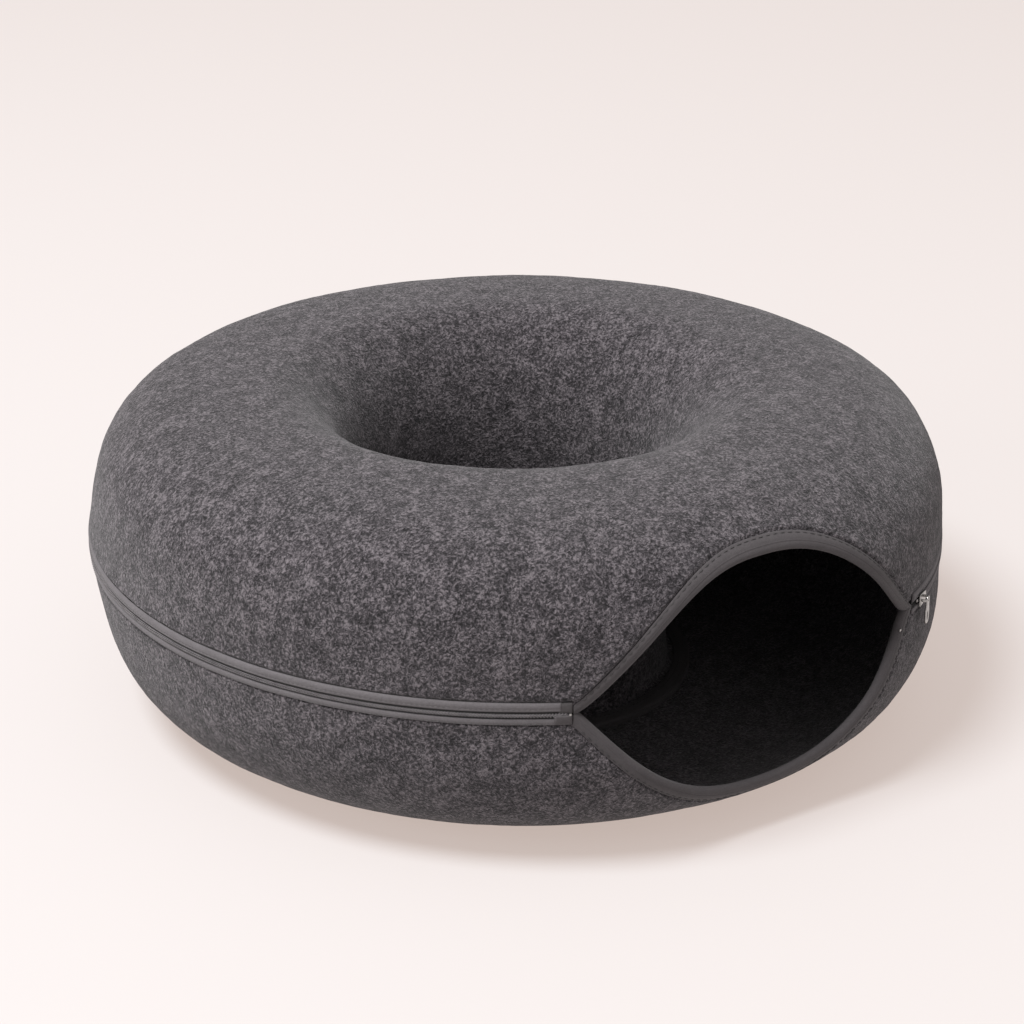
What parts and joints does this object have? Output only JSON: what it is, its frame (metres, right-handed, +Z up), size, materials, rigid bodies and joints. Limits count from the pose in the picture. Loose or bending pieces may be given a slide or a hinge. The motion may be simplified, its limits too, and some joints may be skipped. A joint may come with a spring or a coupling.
{
  "type": "pet cushion bed",
  "caption": "Ring-shaped felt tunnel bed for a cat, with a well in the middle, a bound eye-shaped mouth and a zip round the outside.",
  "frame": {"origin": "on the ring's axis, at the underside of the flat base", "axes": "+Z up along the ring's axis; the mouth faces -Y; +X to the right as seen from the mouth's side, where the closed zip's slider rests"},
  "size_m": [0.6047, 0.5889, 0.222],
  "materials": {
    "felt": "matte melange felt",
    "binding": "smooth woven tape",
    "zip_tape": "fine woven tape",
    "coil": "satin nylon",
    "thread": "twisted thread",
    "zip_metal": "polished nickel"
  },
  "bodies": {
    "bed": {"upper_felt_shell": "felt", "lower_felt_shell": "felt", "upper_mouth_binding": "binding", "lower_mouth_binding": "binding", "upper_mouth_stitching": "thread", "lower_mouth_stitching": "thread", "upper_zip_strip": "binding", "lower_zip_strip": "binding", "upper_zip_stitching": "thread", "lower_zip_stitching": "thread", "upper_zip_tape": "zip_tape", "lower_zip_tape": "zip_tape", "upper_zip_coil": "coil", "lower_zip_coil": "coil", "upper_zip_end_tab": "zip_tape", "lower_zip_end_tab": "zip_tape", "bottom_stop": "zip_metal", "upper_top_stop": "zip_metal", "lower_top_stop": "zip_metal", "well_seam_binding": "binding", "well_seam_stitching": "thread"},
    "slider": {"slider_body": "zip_metal"},
    "pull": {"pull_tab": "zip_metal"}
  },
  "joints": [
    {"name": "slider_travel", "type": "hinge", "parent": "bed", "child": "slider", "pos_m": [0, 0, 0.117], "axis": [0, 0, 1], "range_deg": [0, 298.5]},
    {"name": "pull_swing", "type": "hinge", "parent": "slider", "child": "pull", "pos_m": [0.15699, -0.26388, 0.117], "axis": [-0.8594, -0.5113, 0], "range_deg": [-5, 185]}
  ]
}
